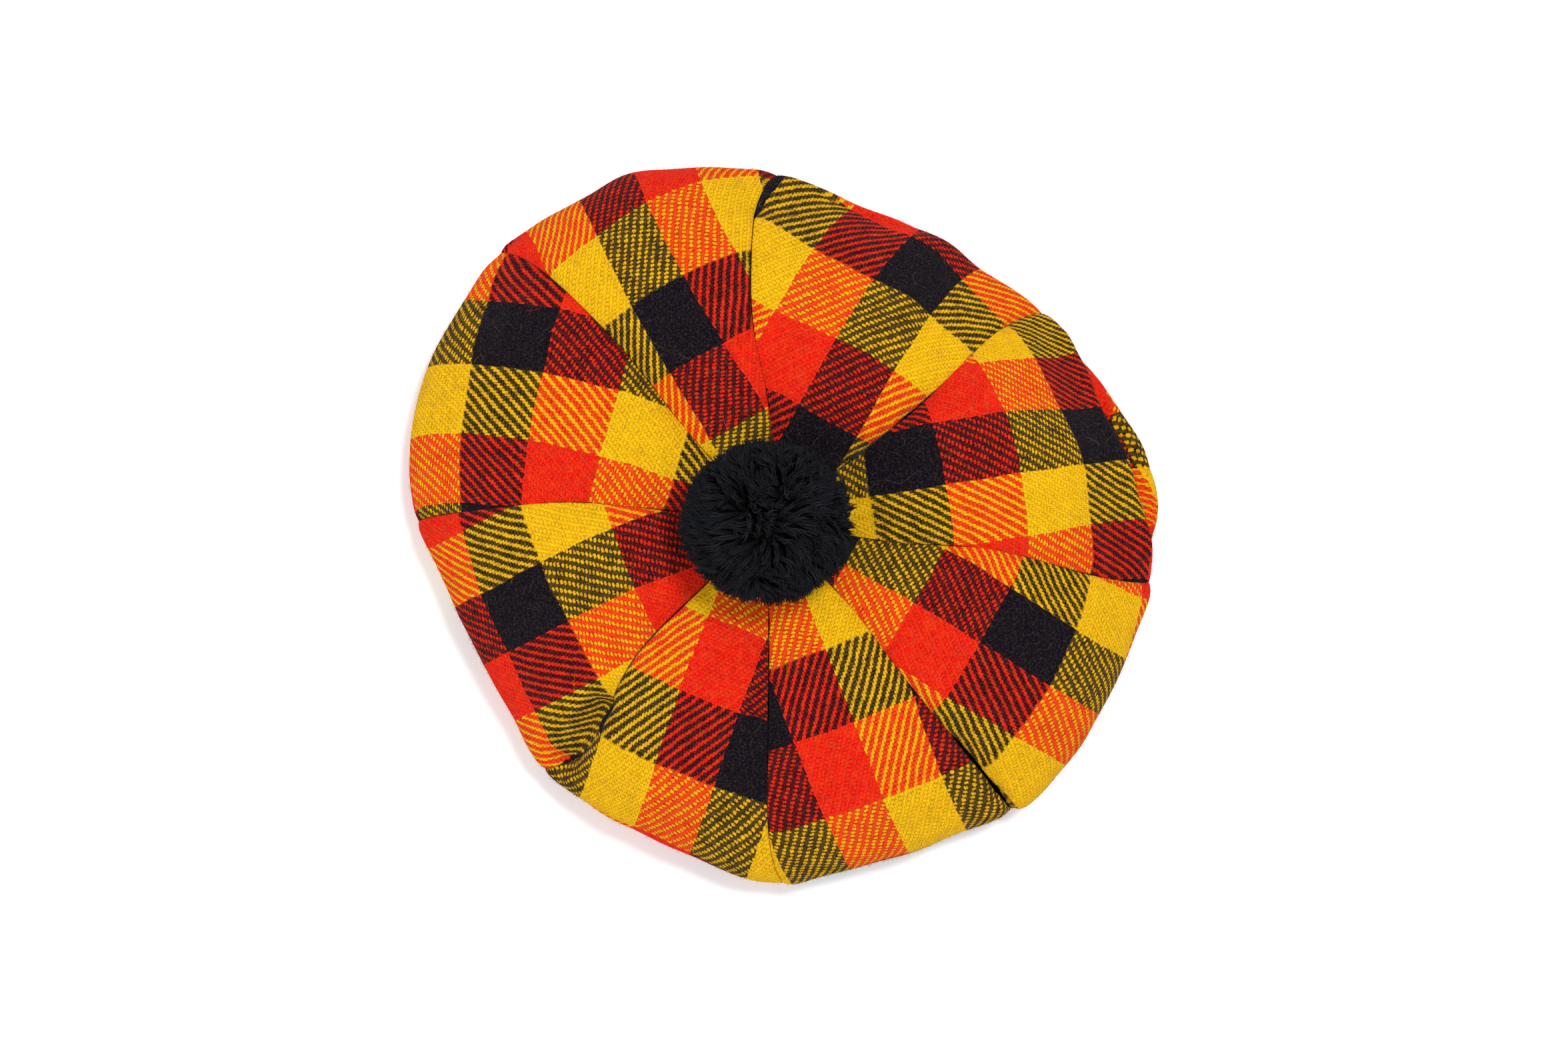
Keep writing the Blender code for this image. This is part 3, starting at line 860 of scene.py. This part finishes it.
POMPOM = Vector((-4.9, 0.9, 74.0))  # its centre
POMPOM_HALF = np.array((30.3, 28.4, 27.6))  # its half widths, to the yarn's ends
POMPOM_LOWEST = -0.62  # sine of the lowest strand's elevation
YARNS = 2200
YARN_ROOT = 0.40  # where the yarn starts, as a share of its reach
PLIES = 3
PLY_RADIUS = 0.40
PLY_OFFSET = 0.44  # of a ply from the middle of its yarn
PLY_TURNS = 1.3  # twist over the length that shows
PLY_POINTS = 9
PLY_SIDES = 4
PLY_TAPER = (0.3, 0.8, 1.0, 1.0, 1.0, 1.0, 0.95, 0.8, 0.2)
# Places on the ball that the yarn leans away from: direction, width and strength.
PARTINGS = (
    ((0.16, 0.27, 0.95), 0.45, 0.22),
    ((-0.08, -0.18, 0.98), 0.30, 0.20),
    ((-0.45, 0.20, 0.85), 0.30, 0.25),
)
DROOP = 0.22  # how far the yarn hangs over by its weight
TUFTS = ((0.60, 0.5, 3.0), (0.55, 0.2, 8.0))  # strength, size on the ball and seed
CRIMP = 0.8  # reach of the yarn's own waves
SPREAD = 0.022  # of chance in the yarn's directions and reach
TUFT_SIZE, TUFT_RISE = 0.35, 0.055  # of the ball's uneven outline
YARN_BEND = 0.85  # how far a yarn follows its lean
FUZZ_HAIRS, FUZZ_RADIUS = 7500, 0.035
FUZZ_LENGTH = (1.0, 3.8)
CORE_SHARE = 0.66  # of the half widths, for the ball inside
YARN_COLOUR = (0.0068, 0.0049, 0.0061)
COOL_TIP_HIGHLIGHT = (0.82, 1.30, 1.38)  # painted cool highlight at the yarn's ends, as a tint of that colour
YARN_SEED = 11


def direction_field(ways, size, seed):
    """A smooth random sideways push for each direction, with tufts of that size."""
    return sideways(np.stack([waves(ways, size, seed + i) for i in range(3)], axis=1), ways)


def pompom_yarn():
    """Dark wool yarn: a shade for each strand, its fibres and its hairs."""
    make = Shading("pompom_yarn")
    place = make.add("NewGeometry").outputs["Position"]
    shade = make.add("Attribute", attribute_name="shade").outputs["Fac"]
    yarn_map = make.add("UVMap", uv_map="Yarn").outputs[0]
    along = make.feed(make.add("Mapping"), Vector=yarn_map, Scale=(5.0, 0.55, 1.0))
    hair = make.noise(place, 3200, 3.0, 0.7)
    fibre = make.noise(along[0], 1.6, 4.0, 0.7)
    light = make.total(hair, (shade, 0.9), (make.ramp(fibre, 0.35, 0.65), 0.7))
    # Loose ends catch more light than the yarn deep inside.
    length = make.split(yarn_map)["Y"]
    light = make.times(light, make.ramp(length, 9.0, 20.0, 0.35, 1.75))
    colour = make.mix(1.0, (*YARN_COLOUR, 1), light, "MULTIPLY")
    # Painted cool highlight: in patches, the yarn's ends are tinted cooler and lighter than its
    # roots.
    cool_tip_highlight = make.ramp(make.noise(place, 140), 0.25, 0.6, 0.4, 1.0)
    cool_tip_highlight = make.times(make.ramp(length, 11.0, 20.0), cool_tip_highlight)
    colour = make.mix(cool_tip_highlight, colour, make.mix(1.0, colour, (*COOL_TIP_HIGHLIGHT, 1), "MULTIPLY"))
    make.surface(
        Base_Color=colour, Roughness=0.8, Specular_IOR_Level=0.06,
        Sheen_Weight=0.015, Sheen_Roughness=0.5, Sheen_Tint=(0.8, 0.85, 1.0, 1),
        Normal=make.bump(make.math("ADD", hair, fibre), 0.0005, 0.9),
    )
    return make.material


def pompom_ways(total, chance):
    """Even directions on a ball, down to the lowest, by the golden angle."""
    index = np.arange(total) + 0.5
    up = 1 - (1 - POMPOM_LOWEST) * index / total
    turn = index * math.pi * (3 - math.sqrt(5))
    flat = np.sqrt(1 - up**2)
    ways = np.stack([flat * np.cos(turn), flat * np.sin(turn), up], axis=1)
    return unit(ways + chance.normal(0, SPREAD, ways.shape))


def pompom_lean(ways):
    """Which way the yarn of each direction lies over."""
    lean = DROOP * sideways(np.array((0.0, 0.0, -1.0)), ways)
    for strength, size, seed in TUFTS:
        lean += strength * direction_field(ways, size, seed)
    for centre, width, strength in PARTINGS:
        away = ways - unit(np.array(centre))
        near = np.linalg.norm(away, axis=1)
        away = unit(sideways(away, ways))
        lean += away * (strength * np.exp(-((near / width) ** 2)))[:, None]
    return lean


def make_pompom(material):
    """Plied yarn that grows from the pompom's middle and lies over in tufts."""
    chance = np.random.RandomState(YARN_SEED)
    ways = pompom_ways(YARNS, chance)
    lean = pompom_lean(ways) + chance.normal(0, 0.06, ways.shape)
    tuft = np.array([noise.noise(Vector(way) / TUFT_SIZE + Vector((5, 1, 2))) for way in ways])
    reach = 1 + TUFT_RISE * tuft + chance.normal(0, SPREAD, YARNS)

    t = np.linspace(0, 1, PLY_POINTS)
    size = YARN_ROOT + (reach[:, None] - YARN_ROOT) * t**0.85
    paths = unit(ways[:, None] + lean[:, None] * (YARN_BEND * t**1.8)[:, None]) * size[..., None]
    paths = paths * POMPOM_HALF + POMPOM
    side = unit(np.cross(ways, lean + 1e-6))[:, None]
    other = np.cross(ways[:, None], side)

    def aside(turn, far):
        """A push so far from the yarn's middle, at a turn round it."""
        return side * (np.sin(turn) * far)[..., None] + other * (np.cos(turn) * far)[..., None]

    phase = chance.uniform(0, math.tau, (YARNS, 1)) + t * chance.uniform(5, 9, (YARNS, 1))
    paths += aside(phase, CRIMP * (0.2 + t))

    strands, radii = [], []
    start = chance.uniform(0, math.tau, (YARNS, 1))
    for ply in range(PLIES):
        turn = start + math.tau * (ply / PLIES + PLY_TURNS * t)
        fray = 1 + chance.uniform(0.2, 1.6, (YARNS, 1)) * t**4
        strands.append(paths + aside(turn, PLY_OFFSET * fray))
        radii.append(PLY_RADIUS * np.array(PLY_TAPER) * chance.uniform(0.8, 1.15, (YARNS, 1)))
    strands, radii = np.concatenate(strands), np.concatenate(radii)
    shades = np.tile(chance.uniform(0, 1, YARNS), PLIES)
    shades = np.clip(shades + chance.normal(0, 0.15, len(strands)), 0, 1)
    for i in range(2):
        half = (each[i::2] for each in (strands, radii, shades))
        tubes(f"pompom_yarn_{i + 1}", *half, PLY_SIDES, material)
    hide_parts("pompom")

    # Single hairs round it.
    index = chance.randint(0, len(strands), FUZZ_HAIRS)
    root = strands[index, chance.randint(4, PLY_POINTS - 1, FUZZ_HAIRS)]
    out = unit((root - POMPOM) / POMPOM_HALF + chance.normal(0, 0.75, root.shape))
    bend = chance.normal(0, 0.9, root.shape)
    t = np.linspace(0, 1, 4)[None, :, None]
    length = chance.uniform(*FUZZ_LENGTH, (FUZZ_HAIRS, 1, 1))
    hairs = root[:, None] + (out[:, None] * t + bend[:, None] * t**2 * 0.4) * length
    radii = np.full(hairs.shape[:2], FUZZ_RADIUS)
    shades = chance.uniform(0.4, 1, FUZZ_HAIRS)
    tubes("pompom_hairs", hairs, radii, shades, HAIR_SIDES, material)


# The tie below the pompom: height from its centre, and radius.
TIE_STEPS = ((-23.2, 3.2), (-26.2, 3.2), (-27.0, 4.6), (-29.5, 5.2), (-32.0, 3.4))
TIE_YARN = 0.7
TIE_TURNS = 7
TIE_POINTS = 140


def make_pompom_core(material):
    """The dark ball that the strands grow from."""
    core = bmesh.new()
    bmesh.ops.create_icosphere(core, subdivisions=4, radius=1)
    for vert in core.verts:
        vert.co *= CORE_SHARE * (1 + 0.03 * noise.noise(vert.co * 4))
    points = np.array([vert.co for vert in core.verts]) * POMPOM_HALF + POMPOM
    faces = [[vert.index for vert in face.verts] for face in core.faces]
    core.free()
    new_mesh("pompom_core", points, faces, material)


def make_tie(material):
    """Yarn wound round the tie that goes through the crown, with its knot inside."""
    heights, reach = np.array(TIE_STEPS).T
    t = np.linspace(0, 1, TIE_POINTS)
    height = heights[0] + (heights[-1] - heights[0]) * t
    radius = np.interp(-height, -heights, reach)
    turn = math.tau * TIE_TURNS * t
    x, y = (radius - TIE_YARN) * np.cos(turn), (radius - TIE_YARN) * np.sin(turn)
    wound = np.stack([x, y, height], axis=1) + POMPOM
    middle = np.stack([0 * x, 0 * y, height], axis=1) + POMPOM
    yarn = np.full(TIE_POINTS, TIE_YARN)
    for name, path, thick, sides in (
        ("pompom_tie_yarn", wound, yarn, 8), ("pompom_tie", middle, radius - yarn, 16),
    ):
        tubes(name, path[None], thick[None], [0.5], sides, material)


# ---- hairs of the cloth

HAIRS_SEED = 40
LINT = (0.16, 0.13, 0.10)
# Kinds: name, radius, the share of them that is lint and not the cloth's own, count
# on each gore, points, least and greatest length, how steeply they stand, and the
# rows of the section that they grow from.
HAIRS = (
    ("loose_hairs", 0.028, 0.35, 260, 7, 2.5, 9.0, 0.05, 0.4, 10.5),
    ("nap_hairs", 0.035, 0.1, 1000, 4, 0.7, 1.9, 0.6, 7.2, 12.5),
)


def loose_wool(lint_share):
    """Single hairs, in the check's colour where they grow, some of them lint."""
    make = Shading("loose_wool")
    shade = make.add("Attribute", attribute_name="shade").outputs["Fac"]
    u, v, _ = make.split(make.add("Attribute", attribute_name="check").outputs["Vector"])
    either = make.math("GREATER_THAN", make.math("FRACT", make.times(shade, 7.0)), 0.5)
    own = make.mix(either, make.bands(u), make.bands(v))
    colour = make.mix(make.math("LESS_THAN", shade, lint_share), own, (*LINT, 1))
    make.surface(Base_Color=colour, Roughness=0.8, Specular_IOR_Level=0.0)
    return make.material


def hair_paths(gore, chance, count, points, least, most, steep, first_row, last_row):
    """Paths of hairs that lie along a gore's outer face and rise from it, and the
    check's count of colours where they start."""
    rows, along = middle_line(cloth, gore)
    first, last = np.interp((first_row, last_row), rows, along)
    t = np.linspace(0, 1, points)
    length = chance.uniform(least, most, (count, 1))
    heading = chance.uniform(0, math.tau, (count, 1)) + chance.normal(0, 1.6, (count, 1)) * t
    step = length / (points - 1) * math.sqrt(1 - steep**2)
    run, over = (running(turn(heading[:, 1:]) * step) for turn in (np.cos, np.sin))
    start_along = chance.uniform(first, last, (count, 1))
    row = np.interp(start_along + run, along, rows)
    radius = smooth_cloth(gore, np.full(row.size, 0.5), row.ravel())[1]
    width = gore_width(gore, row.ravel(), radius).reshape(row.shape)
    across = np.clip(chance.uniform(0.01, 0.99, (count, 1)) + over / width, 0.005, 0.995)
    more = tuck_length(gore, across[:, 0], row[:, 0])
    flat = np.stack([start_along[:, 0] + more, (across[:, 0] - 0.5) * width[:, 0]], axis=1)
    across, row = across.ravel(), row.ravel()
    outer = worn_cloth(gore, across, row)[0].reshape(count, points, 3)
    normal = outward(tucked_cloth, gore, across, row).reshape(count, points, 3)
    arch = 0.03 + length * steep * (t if steep > 0.3 else np.sin(math.pi * t))
    return outer + normal * arch[..., None], check_map(gore, flat)


def make_hairs():
    """Loose hairs over the crown, and the nap that blurs its outline."""
    for seed, (name, radius, lint, *kind) in enumerate(HAIRS, HAIRS_SEED):
        chance = np.random.RandomState(seed)
        grown = [hair_paths(gore, chance, *kind) for gore in range(GORE_COUNT)]
        paths, check = (np.concatenate(part) for part in zip(*grown))
        radii, shades = np.full(paths.shape[:2], radius), chance.uniform(0, 1, len(paths))
        item = tubes(name, paths, radii, shades, HAIR_SIDES, loose_wool(lint))
        each = len(item.data.vertices) // len(paths)
        place = item.data.attributes.new("check", "FLOAT_VECTOR", "POINT")
        values = np.pad(np.repeat(check, each, axis=0), ((0, 0), (0, 1)))
        place.data.foreach_set("vector", values.astype(np.float32).ravel())


# ---- the scene

CAMERA_HEIGHT = 1.3
FRAME_WIDTH = 0.5645  # of the photograph, at the height of the rim
FRAME_LEVEL = 0.022
FRAME_CENTRE = (0.0006, 0.00084)
FLOOR_SIZE = 8.0
FLOOR_COLOUR = (0.93, 0.93, 0.935)
SKY_STRENGTH = 0.75
LIGHT_AIM = 0.03  # height that the lights point at
# Lights: name, place, size and power.
LIGHTS = (
    ("key", (0.50, 0.55, 2.0), 0.45, 31),
    ("fill", (-1.1, -0.8, 1.5), 1.6, 16),
)


def make_stage():
    floor = bpy.data.meshes.new("floor")
    half = FLOOR_SIZE / 2
    corners = [(x * half, y * half, 0) for x, y in ((-1, -1), (1, -1), (1, 1), (-1, 1))]
    floor.from_pydata(corners, [], [(0, 1, 2, 3)])
    make = Shading("floor_white")
    make.surface(Base_Color=(*FLOOR_COLOUR, 1), Roughness=0.9, Specular_IOR_Level=0.1)
    floor.materials.append(make.material)
    new_item("floor", floor)


def make_camera():
    camera = bpy.data.cameras.new("camera")
    camera.sensor_width = 36.0
    camera.lens = camera.sensor_width * (CAMERA_HEIGHT - FRAME_LEVEL) / FRAME_WIDTH
    item = new_item("camera", camera)
    item.location = (*FRAME_CENTRE, CAMERA_HEIGHT)
    bpy.context.scene.camera = item


def make_light(name, place, size, power):
    light = bpy.data.lights.new(name, "AREA")
    light.shape = "DISK"
    light.size = size
    light.energy = power
    item = new_item(name, light)
    item.location = place
    way = Vector((0, 0, LIGHT_AIM)) - Vector(place)
    item.rotation_euler = way.to_track_quat("-Z", "Y").to_euler()


def make_lights():
    world = bpy.data.worlds.new("studio")
    world.use_nodes = True
    background = world.node_tree.nodes["Background"]
    background.inputs["Color"].default_value = (1, 1, 1, 1)
    background.inputs["Strength"].default_value = SKY_STRENGTH
    bpy.context.scene.world = world
    bpy.context.scene.view_settings.view_transform = "Standard"
    for light in LIGHTS:
        make_light(*light)


make_camera()
make_lights()
make_stage()
wool = check_wool("check_wool")
made = [make_gore(gore, wool) for gore in range(GORE_COUNT)]
make_headband(check_wool("band_wool"))
yarn = pompom_yarn()
make_pompom_core(yarn)
make_pompom(yarn)
make_tie(yarn)
make_hairs()
